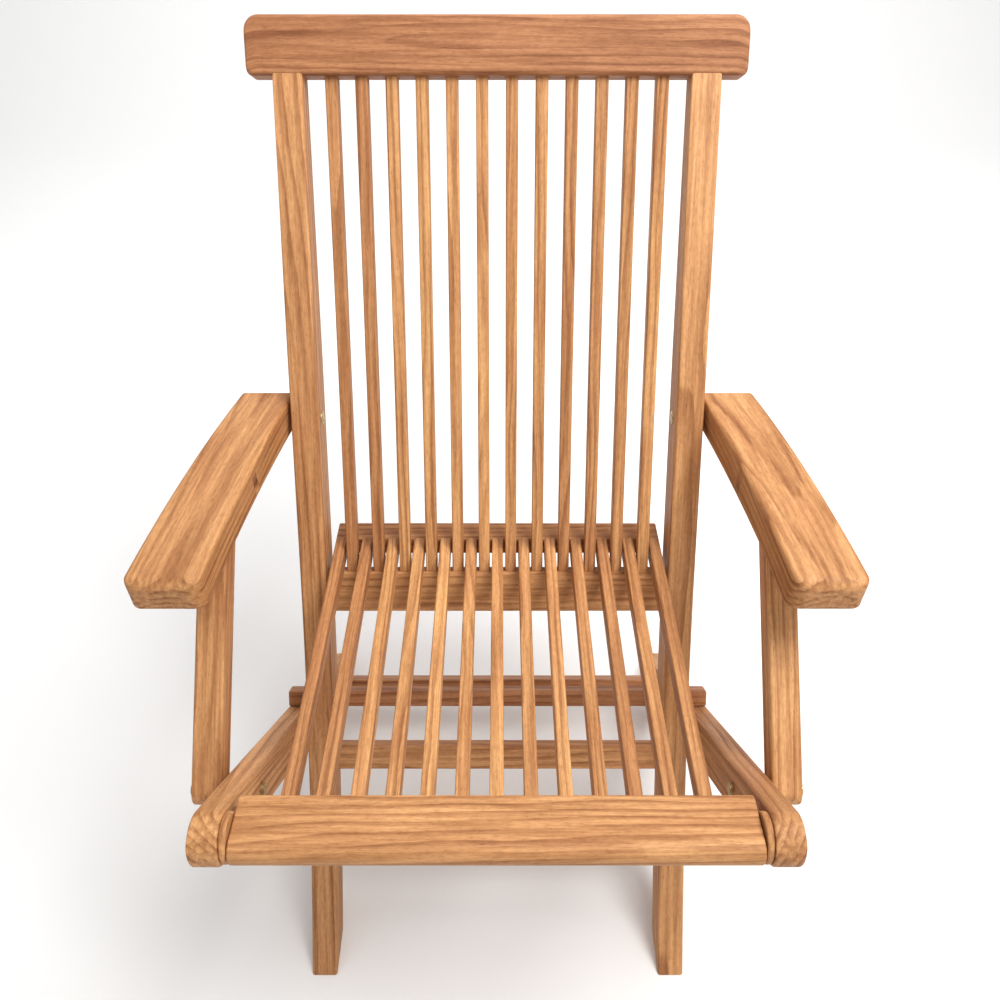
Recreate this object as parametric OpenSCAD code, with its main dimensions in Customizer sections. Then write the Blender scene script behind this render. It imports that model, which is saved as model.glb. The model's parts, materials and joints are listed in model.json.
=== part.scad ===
// Folding slatted armchair in solid teak.
// Two long sticks run from the crest down past the seat and become the front legs. The rear
// legs cross them outside, carry the seat's front rail on their top ends, and fold forward.
// X is across the chair, -Y is forward, +Z is up, and z = 0 is the floor. Left is -X.

/* [Seat] */
// Height of the seat's top where it meets the back
seat_h = 423; // [395:1:460]
// Length of the seat from its front edge to the back's centre line
seat_depth = 389; // [360:1:420]
// Slope of the seat down towards the back, in degrees
seat_slope = 5.5; // [3:0.1:8]
// Number of seat slats, one more than the back slats between them
seat_slats = 13; // [5:2:13]
// Gap on each side where a seat slat passes between two back slats
slat_gap = 2.5; // [1.5:0.1:4]
// Gap between the outermost seat slat and the stile
slat_edge = 6; // [4:0.5:20]
// Width of a seat slat
seat_slat_w = 13; // [10:0.5:16]
// Height of a seat slat
seat_slat_h = 20; // [16:0.5:24]
// Front-to-back size of the seat's front rail
front_rail_d = 58; // [50:1:70]
// Thickness of the seat's front rail
front_rail_t = 27; // [24:0.5:32]
// Front-to-back size of the seat's rear rail
rear_rail_d = 30; // [24:1:34]
// Height of the seat's rear rail
rear_rail_h = 24; // [22:0.5:28]

/* [Back] */
// Lean of the back from upright, in degrees
back_lean = 29.2; // [26:0.1:32]
// Length of the back from the seat's top to the crest rail, along the lean
back_len = 509; // [460:1:560]
// Width of a back slat
back_slat_w = 13; // [10:0.5:16]
// Front-to-back size of a back slat
back_slat_d = 16; // [12:0.5:18]
// Height of the crest rail along the lean
crest_h = 57; // [48:1:70]
// Thickness of the crest rail
crest_t = 31; // [28:1:40]
// Overhang of the crest rail past each stile
crest_over = 26; // [10:1:34]
// Radius of the crest rail's top corners
crest_r = 15; // [8:1:24]
// Height of the lower back rail along the lean
lower_rail_h = 49; // [36:1:56]
// Thickness of the lower back rail
lower_rail_t = 22; // [20:0.5:26]

/* [Stiles and front legs] */
// Thickness of a stile, across the chair
stile_t = 31; // [26:0.5:36]
// Front-to-back size of a stile
stile_d = 44; // [38:1:52]
// Front-to-back size of a stile under the crest rail
stile_top_d = 30; // [28:1:44]
// Radius of the forward sweep of the front legs
sweep_r = 2300; // [1900:25:3000]
// Distance down the stile from the seat's top to where the sweep begins
sweep_drop = 8; // [2:1:40]

/* [Rear legs] */
// Height of the crossing bolt
cross_h = 225; // [200:1:245]
// Thickness of a rear leg, across the chair
rear_leg_t = 26; // [22:0.5:32]
// Front-to-back size of a rear leg
rear_leg_d = 48; // [42:1:54]
// Gap between a stile and a rear leg, filled by washers
leg_gap = 7; // [6:0.5:9]
// Distance from the seat's front edge back to its pivot bolt
seat_pin_set = 24; // [20:1:34]

/* [Arms] */
// Height of the arm's pivot above the seat's top
arm_over_seat = 135; // [122:1:150]
// Length of an arm
arm_len = 300; // [280:1:320]
// Thickness of an arm
arm_t = 40; // [36:1:44]
// Width of an arm at its rear end
arm_rear_w = 61; // [54:1:66]
// Width of an arm at its nose
arm_nose_w = 70; // [62:1:84]
// Outward splay of an arm's inner edge from rear to nose
arm_splay = 37; // [20:1:42]
// Rise of an arm's centre line from rear to nose
arm_rise = 14; // [8:1:24]
// Arch of an arm's centre line above a straight line
arm_arch = 8; // [0:1:12]
// Radius of the corners of an arm's nose
arm_nose_r = 14; // [6:1:20]
// Length of an arm behind its pivot
arm_tail = 22; // [16:1:30]
// Distance forward from the arm's pivot to the post's bolt in the arm
arm_reach = 122; // [100:1:135]
// Depth of the post's bolt below the arm's centre line
post_pin_drop = 8; // [2:0.5:10]
// Gap between a rear leg and an arm post, filled by a washer
post_gap = 10; // [4:0.5:12]
// Thickness of an arm post, across the chair
post_t = 30; // [24:0.5:32]
// Front-to-back size of an arm post
post_d = 30; // [26:0.5:32]

/* [Stretchers] */
// Height of a stretcher's section
stretcher_h = 30; // [24:1:36]
// Thickness of a stretcher's section
stretcher_t = 20; // [16:0.5:24]
// Side of the square stop bar behind the crossing
bar_side = 20; // [16:0.5:24]
// Distance from the crossing bolt down to the upper stretcher
upper_drop = 31; // [28:1:40]
// Height of the middle of the front legs' lower stretcher
lower_h = 126; // [105:1:145]
// Height of the middle of the rear legs' stretcher
rear_stretcher_h = 60; // [50:1:90]

/* [Fits] */
// Diameter of the pivot bolts
bolt_d = 8; // [6:0.5:10]
// Height of a bolt's head, and depth of its recess
head_h = 5; // [3:0.5:7]
// Height of a nut
nut_h = 4; // [3:0.5:6]
// Depth to which the seat's pivot bolt enters the front rail
seat_bolt_l = 45; // [25:1:60]
// Depth to which the arm's pivot bolt enters the arm
arm_bolt_l = 24; // [14:1:40]
// Length of the post's bolt held in the arm on each side of its pocket
post_bolt_grip = 12; // [8:0.5:15]
// Radial clearance of a pivot bolt in its bore
pin_gap = 0.05; // [0.03:0.01:0.1]
// Clearance all round a tenon in its mortise
tenon_gap = 0.1; // [0.05:0.05:0.3]
// Length of a tenon
tenon_l = 11; // [6:1:12]
// Length of a stile's tenon in the crest rail
stile_tenon_l = 37; // [24:1:45]
// Shoulder on each side of a stile's tenon, across the chair
stile_shoulder_w = 6; // [4:0.5:9]
// Shoulder before and behind a stile's tenon
stile_shoulder_d = 8; // [5:0.5:10]
// Shoulder above and below the tenon of a rail or stretcher
rail_shoulder_h = 5; // [3:0.5:8]
// Shoulder before and behind the tenon of a rail or stretcher
rail_shoulder_t = 4; // [3:0.5:6]
// Shoulder on each side of a slat's tenon, across the chair
slat_shoulder_w = 2; // [1:0.5:3]
// Shoulder on the other two faces of a slat's tenon
slat_shoulder_h = 3; // [2:0.5:4]
// Side gap between parts that turn past each other
side_gap = 0.5; // [0.3:0.1:1]
// Gap between the rear rail and the back slats
rail_gap = 6.5; // [6:0.5:10]

/* [Hidden] */
$fn = 48;
LEFT = -1;
RIGHT = 1;
big = 2000;

back_slats = seat_slats - 1;
two_digits = function(i) i < 10 ? str("0", i) : str(i);
seat_slat_names = [for (i = [1:seat_slats]) str("seat_slat_", two_digits(i))];
back_slat_names = [for (i = [1:back_slats]) str("back_slat_", two_digits(i))];

// Colours of the timber, one for each kind of stick, and of the metal
teak = "#C68A55";
teak_light = "#D9A268";
teak_red = "#B8754A";
brass = "#A08040";

// ---- Side view: points are [y, z], with y = 0 where the stile meets the seat's top ----

seat_ref = [0, seat_h];
up = [sin(back_lean), cos(back_lean)];       // up the straight part of the stile
behind = [cos(back_lean), -sin(back_lean)];  // square to it, to the rear

function dot(a, b) = a[0] * b[0] + a[1] * b[1];
function angle_of(v) = atan2(v[1], v[0]);
// Point on the back: t up the stile from the seat's top, n to the rear of its centre line
function back_pt(t, n) = seat_ref + t * up + n * behind;
// Point on the seat: d to the rear along its top, w above it
function seat_pt(d, w) =
    seat_ref + d * [cos(seat_slope), -sin(seat_slope)] + w * [sin(seat_slope), cos(seat_slope)];
// One of the two points where a circle round p meets a circle round q, left of the line p to q
function circles_meet(p, rp, q, rq) =
    let (
        gap = norm(q - p),
        dir = (q - p) / gap,
        along = (rp * rp - rq * rq + gap * gap) / (2 * gap),
        off = sqrt(rp * rp - along * along)
    )
    p + along * dir + off * [-dir[1], dir[0]];
function turned(v, a) = [v[0] * cos(a) - v[1] * sin(a), v[0] * sin(a) + v[1] * cos(a)];

// The front legs sweep forward along an arc that begins tangent to the straight stile
sweep_start = back_pt(-sweep_drop, 0);
sweep_centre = sweep_start - sweep_r * behind;
function sweep_pt(lean, n) = sweep_centre + (sweep_r + n) * [cos(lean), -sin(lean)];
function sweep_lean(z) = asin((sweep_centre[1] - z) / sweep_r);

cross_lean = sweep_lean(cross_h);
cross = sweep_pt(cross_lean, 0);
cross_up = [sin(cross_lean), cos(cross_lean)];
cross_behind = [cos(cross_lean), -sin(cross_lean)];

// The rear leg runs straight from the seat's pivot through the crossing to the floor
seat_pin = seat_pt(-seat_depth + seat_pin_set, -front_rail_t / 2);
leg_dir = (cross - seat_pin) / norm(cross - seat_pin);
leg_top_face = [-leg_dir[1], leg_dir[0]];
rear_stretcher = cross + leg_dir * (cross_h - rear_stretcher_h) / -leg_dir[1];

// The arm, its post and the rear leg fold flat together: from the crossing bolt, the leg to
// the post's foot and then the post reach as far as the stile to the arm's pivot and then the
// arm to the post's bolt. That fixes where the post's foot is and how long the post is.
arm_h = seat_h + arm_over_seat;
arm_pin = back_pt(arm_over_seat / up[1], 0);
post_pin = arm_mid((arm_tail + arm_reach) / arm_len) - [0, post_pin_drop];
pin_reach = norm(post_pin - arm_pin);
flat_len = norm(arm_pin - cross) + pin_reach;
post_foot = (flat_len * flat_len - pow(norm(post_pin - cross), 2))
    / (2 * (flat_len + dot(post_pin - cross, leg_dir)));
post_foot_pin = cross - post_foot * leg_dir;
post_len = flat_len - post_foot;

// Where the arm and post stand when the chair is folded, which shapes the arm's pocket
fold_turn = 68;
folded_foot = cross + turned(post_foot_pin - cross, -fold_turn);
folded_post_pin = circles_meet(folded_foot, post_len, arm_pin, pin_reach);
arm_turn = angle_of(post_pin - arm_pin) - angle_of(folded_post_pin - arm_pin);
post_angle = angle_of(post_foot_pin - post_pin);
folded_post_angle = angle_of(folded_foot - folded_post_pin) + arm_turn;

// Bolt heads, nuts and washers, as radii
head_r = bolt_d;
nut_r = bolt_d * 0.8;
washer_r = bolt_d * 1.5;

// The slats set the pitch, and their whole width sets the clear width between the stiles
slat_pitch = seat_slat_w + back_slat_w + 2 * slat_gap;
slats_half = ((seat_slats - 1) * slat_pitch + seat_slat_w) / 2;

// Widths across the chair, each measured from the middle
stile_in = slats_half + slat_edge;
stile_out = stile_in + stile_t;
leg_in = stile_out + leg_gap;
leg_out = leg_in + rear_leg_t;
post_in = leg_out + post_gap;
post_out = post_in + post_t;
arm_in = stile_out + side_gap;
crest_half = stile_out + crest_over;

// The seat's rear rail stands behind the back slats and reaches through between them
rail_face = (back_slat_d / 2 + rail_gap) / cos(back_lean - seat_slope);

// The lower back rail's front top corner carries the seat slats
seat_up = [sin(seat_slope), cos(seat_slope)];
lower_rail_top = (lower_rail_t / 2 * dot(behind, seat_up) - seat_slat_h - side_gap)
    / dot(up, seat_up);
lower_rail_mid = lower_rail_top - lower_rail_h / 2;

// The origin is on the floor below the middle of the chair's whole depth
rail_nose = seat_pt(-seat_depth + front_rail_t / 2, -front_rail_t / 2);
front_foot = sweep_pt(asin(sweep_centre[1] / (sweep_r - stile_d / 2)), -stile_d / 2);
rear_foot = cross[0] + (leg_dir[0] * cross_h + rear_leg_d / 2) / -leg_dir[1];
front_y = min(rail_nose[0] - front_rail_t / 2, seat_pin[0] - rear_leg_d / 2, front_foot[0]);
rear_y = max(back_pt(back_len + crest_h, crest_t / 2)[0], rear_foot);
depth_shift = -(front_y + rear_y) / 2;

// ---- Building blocks ----

// Moves side-view geometry into the chair's own frame
module place() {
    translate([0, depth_shift, 0]) children();
}

// Turns a plate drawn flat in [y, z] into a plate that stands from x0 to x1
module plate(x0, x1) {
    translate([x0, 0, 0]) rotate([90, 0, 90]) linear_extrude(x1 - x0) children();
}

// A round bar along X, centred on the side-view point p
module pin(p, r, x0, x1) {
    translate([x0, p[0], p[1]]) rotate([0, 90, 0]) cylinder(r = r, h = x1 - x0);
}

// A straight stick from point p to point q, of depth d, from x0 to x1
module stick(p, q, d, x0, x1) {
    translate([x0, p[0], p[1]])
        rotate([angle_of(q - p), 0, 0])
            translate([0, 0, -d / 2]) cube([x1 - x0, norm(q - p), d]);
}

// Half a circle of radius r round p, starting at angle a
function half_turn(p, r, a) =
    [for (i = [0:20]) p + r * [cos(a + 9 * i), sin(a + 9 * i)]];

// Outline of a bar from p to q, of depth d, round at p and, if wanted, round at q too
module bar_outline(p, q, d, round_both) {
    along = angle_of(q - p);
    side = d / 2 * [-sin(along), cos(along)];
    far_end = round_both ? half_turn(q, d / 2, along - 90) : [q - side, q + side];
    polygon(concat(half_turn(p, d / 2, along + 90), far_end));
}

// A bar across the chair from -half to half, centred on p, long side a along direction v
module cross_bar(p, v, a, b, half) {
    stick(p - v * a / 2, p + v * a / 2, b, -half, half);
}

// Mirrors the right-hand part to make the left-hand one
module on_side(side) {
    mirror([side == LEFT ? 1 : 0, 0, 0]) children();
}

module both_sides() {
    on_side(LEFT) children();
    on_side(RIGHT) children();
}

module above_floor() {
    difference() {
        children();
        translate([-big / 2, -big / 2, -big]) cube([big, big, big]);
    }
}

// ---- Back frame ----

taper_start = arm_over_seat / up[1] + 74;
function sweep_side(n, from_lean, to_lean, steps) =
    [for (i = [0:steps]) sweep_pt(from_lean + (to_lean - from_lean) * i / steps, n)];

module stile_profile() {
    floor_lean = sweep_lean(-stile_d);
    front = sweep_side(-stile_d / 2, back_lean, floor_lean, 24);
    rear = sweep_side(stile_d / 2, floor_lean, back_lean, 24);
    polygon(concat(
        [back_pt(back_len, -stile_top_d / 2), back_pt(taper_start, -stile_d / 2)],
        front,
        rear,
        [back_pt(taper_start, stile_d / 2), back_pt(back_len, stile_top_d / 2)]
    ));
}

// The stile's tenon in the crest rail, grown by gap all round for the mortise
module stile_tenon(gap, below) {
    stick(back_pt(back_len - below, 0), back_pt(back_len + stile_tenon_l + gap, 0),
          stile_top_d - 2 * stile_shoulder_d + 2 * gap,
          stile_in + stile_shoulder_w - gap, stile_out - stile_shoulder_w + gap);
}

// Stile and front leg in one piece, mortised for the lower back rail and the stretchers
module stile(side) {
    color(teak) place() on_side(side) difference() {
        union() {
            above_floor() plate(stile_in, stile_out) stile_profile();
            stile_tenon(0, 1);
        }
        pin(cross, bolt_d / 2, stile_in - 1, stile_out + 1);
        pin(cross, head_r, stile_in - 1, stile_in + head_h);
        pin(arm_pin, bolt_d / 2, stile_in - 1, stile_out + 1);
        pin(arm_pin, head_r, stile_in - 1, stile_in + head_h);
        rail_tenons(tenon_gap);
        stretcher_tenons(tenon_gap);
        bar_screw(screw_r, 2 * screw_r);
    }
}

// Shape that the crest rail's outline has in the plane of the back, x across and y up
module crest_outline() {
    small_r = 6;
    square_h = crest_h - crest_r;
    translate([-crest_half, small_r]) square([2 * crest_half, square_h - small_r]);
    translate([-crest_half + crest_r, 0]) square([2 * (crest_half - crest_r), crest_h]);
    for (x = [-1, 1]) {
        translate([x * (crest_half - crest_r), square_h]) circle(crest_r);
        translate([x * (crest_half - small_r), small_r]) circle(small_r);
        translate([x * (crest_half - crest_r) - crest_r / 2, 0]) square([crest_r, small_r]);
    }
}

module crest_rail() {
    start = back_pt(back_len, 0);
    color(teak_red) place() difference() {
        translate([0, start[0], start[1]])
            rotate([90 - back_lean, 0, 0])
                translate([0, 0, -crest_t / 2]) linear_extrude(crest_t) crest_outline();
        both_sides() stile_tenon(tenon_gap, 1);
        for (i = [1:back_slats]) back_slat_tenon(i, tenon_gap);
    }
}

module rail_tenons(gap) {
    half = stile_in + tenon_l + gap;
    cross_bar(back_pt(lower_rail_mid, 0), up, lower_rail_h - 2 * rail_shoulder_h + 2 * gap,
              lower_rail_t - 2 * rail_shoulder_t + 2 * gap, half);
}

module lower_back_rail() {
    color(teak) place() difference() {
        union() {
            cross_bar(back_pt(lower_rail_mid, 0), up, lower_rail_h, lower_rail_t, stile_in);
            rail_tenons(0);
        }
        for (i = [1:back_slats]) back_slat_tenon(i, tenon_gap);
    }
}

function back_slat_x(i) = (i - (back_slats + 1) / 2) * slat_pitch;

// The thinner ends of a back slat, which sit in the crest rail and the lower back rail
module back_slat_tenon(i, gap) {
    x = back_slat_x(i);
    half = back_slat_w / 2 - slat_shoulder_w + gap;
    stick(back_pt(lower_rail_top - tenon_l - gap, 0), back_pt(back_len + tenon_l + gap, 0),
          back_slat_d - 2 * slat_shoulder_h + 2 * gap, x - half, x + half);
}

module back_slat(i) {
    x = back_slat_x(i);
    half = back_slat_w / 2;
    color(i % 3 == 0 ? teak_red : teak_light) place() union() {
        stick(back_pt(lower_rail_top, 0), back_pt(back_len, 0), back_slat_d, x - half, x + half);
        back_slat_tenon(i, 0);
    }
}

// ---- Stretchers and the stop bar ----

upper_lean = sweep_lean(cross_h - upper_drop * cross_up[1]);
upper_mid = sweep_pt(upper_lean, 0);
lower_lean = sweep_lean(lower_h);
lower_mid = sweep_pt(lower_lean, 0);

module leg_stretcher_bar(mid, lean, h, t, half) {
    cross_bar(mid, [sin(lean), cos(lean)], h, t, half);
}

// Section of a stretcher's tenon, its height and its thickness
function tenon_h(gap) = stretcher_h - 2 * rail_shoulder_h + 2 * gap;
function tenon_t(gap) = stretcher_t - 2 * rail_shoulder_t + 2 * gap;

module stretcher_tenons(gap) {
    half = stile_in + tenon_l + gap;
    h = tenon_h(gap);
    t = tenon_t(gap);
    leg_stretcher_bar(upper_mid, upper_lean, h, t, half);
    leg_stretcher_bar(lower_mid, lower_lean, h, t, half);
}

module leg_stretcher(mid, lean) {
    color(teak) place() union() {
        leg_stretcher_bar(mid, lean, stretcher_h, stretcher_t, stile_in);
        leg_stretcher_bar(mid, lean, tenon_h(0), tenon_t(0), stile_in + tenon_l);
    }
}

// The bar is screwed behind the stiles just above the rear legs, and stops them opening too far
bar_n = stile_d / 2 + 0.2;
bar_clear = rear_leg_d / 2 + side_gap;
bar_t = max([for (n = [bar_n, bar_n + bar_side])
    (bar_clear - n * dot(cross_behind, leg_top_face)) / dot(cross_up, leg_top_face)]);
bar_mid = cross + cross_up * (bar_t + bar_side / 2) + cross_behind * (bar_n + bar_side / 2);
screw_r = 2;

// One screw through the bar into the right-hand stile, of radius r, with a head of radius head
module bar_screw(r, head) {
    face = bar_mid + cross_behind * (bar_side / 2 - 3);
    translate([stile_in + stile_t / 2, face[0], face[1]]) rotate([-90 - cross_lean, 0, 0]) {
        translate([0, 0, -bar_side - 20]) cylinder(r = r, h = bar_side + 20);
        cylinder(r = head, h = 3);
    }
}

module stop_bar() {
    color(teak_red) place() difference() {
        cross_bar(bar_mid, cross_up, bar_side, bar_side, leg_out - 1);
        both_sides() bar_screw(screw_r, 2 * screw_r);
    }
}

module stop_bar_screws() {
    color(brass) place() both_sides() bar_screw(screw_r, 2 * screw_r);
}

// ---- Hardware at the crossing and on the stiles ----

module crossing_bolts() {
    color(brass) place() both_sides() {
        pin(cross, bolt_d / 2, stile_in + head_h - 1, leg_out);
        pin(cross, head_r, stile_in, stile_in + head_h);
        pin(cross, head_r, leg_out + pin_gap, leg_out + nut_h);
    }
}

module crossing_washers() {
    color(brass) place() both_sides() difference() {
        pin(cross, washer_r, stile_out, leg_in - side_gap);
        pin(cross, bolt_d / 2, stile_out - 1, leg_in + 1);
    }
}

module arm_pivot_bolts() {
    color(brass) place() both_sides() {
        pin(arm_pin, bolt_d / 2, stile_in + head_h - 1, arm_in + arm_bolt_l);
        pin(arm_pin, head_r, stile_in, stile_in + head_h);
    }
}

// ---- Rear legs ----

module rear_stretcher_tenons(gap) {
    cross_bar(rear_stretcher, leg_dir, tenon_h(gap), tenon_t(gap), leg_in + tenon_l + gap);
}

module rear_leg(side) {
    color(teak) place() on_side(side) difference() {
        above_floor() plate(leg_in, leg_out)
            bar_outline(seat_pin, cross + leg_dir * (cross_h + rear_leg_d) / -leg_dir[1],
                        rear_leg_d, false);
        pin(cross, bolt_d / 2 + pin_gap, leg_in - 1, leg_out + 1);
        pin(seat_pin, bolt_d / 2, leg_in - 1, leg_out + 1);
        pin(seat_pin, head_r, leg_out - head_h, leg_out + 1);
        pin(post_foot_pin, bolt_d / 2, leg_in - 1, leg_out + 1);
        rear_stretcher_tenons(tenon_gap);
    }
}

module rear_leg_stretcher() {
    color(teak) place() union() {
        cross_bar(rear_stretcher, leg_dir, stretcher_h, stretcher_t, leg_in);
        rear_stretcher_tenons(0);
    }
}

module seat_pivot_bolts() {
    color(brass) place() both_sides() {
        pin(seat_pin, bolt_d / 2, stile_out - seat_bolt_l, leg_out - head_h + 1);
        pin(seat_pin, head_r, leg_out - head_h, leg_out);
    }
}

// Threaded ends of the posts' foot bolts, with round nuts on the rear legs' inner faces
module post_foot_nuts() {
    color(brass) place() both_sides() {
        pin(post_foot_pin, bolt_d / 2, leg_in - 1, post_in - side_gap);
        pin(post_foot_pin, nut_r, leg_in - nut_h, leg_in);
    }
}

module post_foot_washers() {
    color(brass) place() both_sides() difference() {
        pin(post_foot_pin, washer_r, leg_out, post_in - side_gap);
        pin(post_foot_pin, bolt_d / 2, leg_out - 1, post_in + 1);
    }
}

// Wooden discs between the rear legs' top ends and the seat's front rail
module seat_spacers() {
    color(teak_light) place() both_sides() difference() {
        pin(seat_pin, rear_leg_d / 2 - 2, stile_out + side_gap, leg_in);
        pin(seat_pin, bolt_d / 2, stile_out - 1, leg_in + 1);
    }
}

// ---- Seat ----

// The front rail's section: flat top, half-round front edge and square back edge
module front_rail_section() {
    r = front_rail_t / 2;
    translate([r, -r]) circle(r);
    translate([r, -front_rail_t]) square([front_rail_d - r, front_rail_t]);
}

module seat_front_rail() {
    color(teak_light) place() difference() {
        plate(-stile_out, stile_out)
            translate(seat_pt(-seat_depth, 0)) rotate(-seat_slope) front_rail_section();
        both_sides()
            pin(seat_pin, bolt_d / 2 + pin_gap, stile_out - seat_bolt_l - 2, stile_out + 1);
        for (i = [1:seat_slats]) seat_slat_tenon(i, tenon_gap);
    }
}

module seat_rear_rail() {
    mid = seat_pt(rail_face + rear_rail_d / 2, -rear_rail_h / 2);
    color(teak) place() difference() {
        cross_bar(mid, seat_pt(1, 0) - seat_ref, rear_rail_d, rear_rail_h, slats_half);
        for (i = [1:seat_slats]) seat_slat_tenon(i, tenon_gap);
    }
}

function seat_slat_x(i) = (i - (seat_slats + 1) / 2) * slat_pitch;

module seat_slat_tenon(i, gap) {
    x = seat_slat_x(i);
    half = seat_slat_w / 2 - slat_shoulder_w + gap;
    level = -seat_slat_h / 2;
    stick(seat_pt(-seat_depth + front_rail_d - tenon_l - gap, level),
          seat_pt(rail_face + tenon_l + gap, level),
          seat_slat_h - 2 * slat_shoulder_h + 2 * gap, x - half, x + half);
}

module seat_slat(i) {
    x = seat_slat_x(i);
    half = seat_slat_w / 2;
    level = -seat_slat_h / 2;
    color(i % 2 == 0 ? teak_light : teak_red) place() union() {
        stick(seat_pt(-seat_depth + front_rail_d, level), seat_pt(rail_face, level),
              seat_slat_h, x - half, x + half);
        seat_slat_tenon(i, 0);
    }
}

// ---- Arms ----

arm_steps = 20;
// Height of the arm's centre line above its pivot, at distance f of its length from the rear
function arm_mid_z(f) = arm_rise * (f - arm_tail / arm_len) + 4 * arm_arch * f * (1 - f);
function arm_mid(f) = arm_pin + [arm_tail - f * arm_len, arm_mid_z(f)];

module arm_profile() {
    top = [for (i = [0:arm_steps]) arm_mid(i / arm_steps) + [0, arm_t / 2]];
    bottom = [for (i = [arm_steps:-1:0]) arm_mid(i / arm_steps) - [0, arm_t / 2]];
    polygon(concat(top, bottom));
}

// The arm's outline from above: tapered, splayed outwards, with a rounded nose
module arm_plan() {
    rear = arm_pin[0] + arm_tail;
    nose = rear - arm_len;
    inner = arm_in + arm_splay;
    outer = inner + arm_nose_w;
    function inner_at(y) = inner + (y - nose) * (arm_in - inner) / arm_len;
    function outer_at(y) = outer + (y - nose) * (arm_in + arm_rear_w - outer) / arm_len;
    corner_y = nose + arm_nose_r;
    steps = 8;
    polygon(concat(
        [[arm_in, rear], [inner_at(corner_y), corner_y]],
        [for (i = [1:steps]) [inner_at(corner_y) + arm_nose_r * (1 - cos(90 * i / steps)),
                              corner_y - arm_nose_r * sin(90 * i / steps)]],
        [for (i = [0:steps - 1]) [outer_at(corner_y) - arm_nose_r * (1 - sin(90 * i / steps)),
                                  corner_y - arm_nose_r * cos(90 * i / steps)]],
        [[outer_at(corner_y), corner_y], [arm_in + arm_rear_w, rear]]
    ));
}

// Side view of the pocket that the post swings in, from its rest angle to its folded angle
module pocket_profile() {
    r = post_d / 2 + 1;
    reach = arm_len;
    function ray(a, n) = post_pin + turned([reach, n], a);
    function root(a, n) = post_pin + turned([0, n], a);
    middle = (post_angle + folded_post_angle) / 2;
    translate(post_pin) circle(r);
    polygon([
        root(post_angle, -r), ray(post_angle, -r), ray(middle, 0),
        ray(folded_post_angle, r), root(folded_post_angle, r)
    ]);
}

module arm(side) {
    color(teak) place() on_side(side) difference() {
        intersection() {
            plate(arm_in - 1, arm_in + arm_splay + arm_nose_w + 1) arm_profile();
            translate([0, 0, arm_h - 2 * arm_t]) linear_extrude(4 * arm_t) arm_plan();
        }
        plate(post_in - side_gap, post_out + side_gap) pocket_profile();
        pin(arm_pin, bolt_d / 2 + pin_gap, arm_in - 1, arm_in + arm_bolt_l + 1);
        pin(post_pin, bolt_d / 2, arm_in, post_out + arm_nose_w);
    }
}

module arm_post_bolts(side) {
    color(brass) place() on_side(side)
        pin(post_pin, bolt_d / 2, post_in - post_bolt_grip, post_out + post_bolt_grip);
}

// ---- Posts ----

module post(side) {
    color(teak_light) place() on_side(side) difference() {
        plate(post_in, post_out) bar_outline(post_foot_pin, post_pin, post_d, true);
        pin(post_pin, bolt_d / 2 + pin_gap, post_in - 1, post_out + 1);
        pin(post_foot_pin, bolt_d / 2, post_in - 1, post_out + 1);
    }
}

module post_foot_bolts(side) {
    color(brass) place() on_side(side) {
        pin(post_foot_pin, bolt_d / 2, post_in, post_out);
        pin(post_foot_pin, nut_r, post_out, post_out + nut_h - 1);
    }
}

stile(LEFT);  // stile_left
stile(RIGHT);  // stile_right
crest_rail();
lower_back_rail();
leg_stretcher(upper_mid, upper_lean);  // upper_leg_stretcher
leg_stretcher(lower_mid, lower_lean);  // lower_leg_stretcher
stop_bar();
stop_bar_screws();
crossing_bolts();
crossing_washers();
arm_pivot_bolts();
rear_leg(LEFT);  // rear_leg_left
rear_leg(RIGHT);  // rear_leg_right
rear_leg_stretcher();
seat_pivot_bolts();
seat_spacers();
post_foot_nuts();
post_foot_washers();
seat_front_rail();
seat_rear_rail();
arm(LEFT);  // arm_left
arm(RIGHT);  // arm_right
arm_post_bolts(LEFT);  // arm_post_bolts_left
arm_post_bolts(RIGHT);  // arm_post_bolts_right
post(LEFT);  // post_left
post(RIGHT);  // post_right
post_foot_bolts(LEFT);  // post_foot_bolts_left
post_foot_bolts(RIGHT);  // post_foot_bolts_right
for (i = [1:back_slats])
    back_slat(i);
for (i = [1:seat_slats])
    seat_slat(i);
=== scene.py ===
# %% [markdown]
# # A folding teak armchair, dressed for its picture
# The chair's design arrives as a fixed frame: every stick has its place and every bolt its
# axis. What the frame lacks is what makes timber look like timber. This lesson carries an
# eased profile along each stick, gives each its own piece of grain, and paints all of them
# with one solid wood that is cut by the sticks, as a real log is.

# %% The frame and the tools
import json
import math

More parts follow.
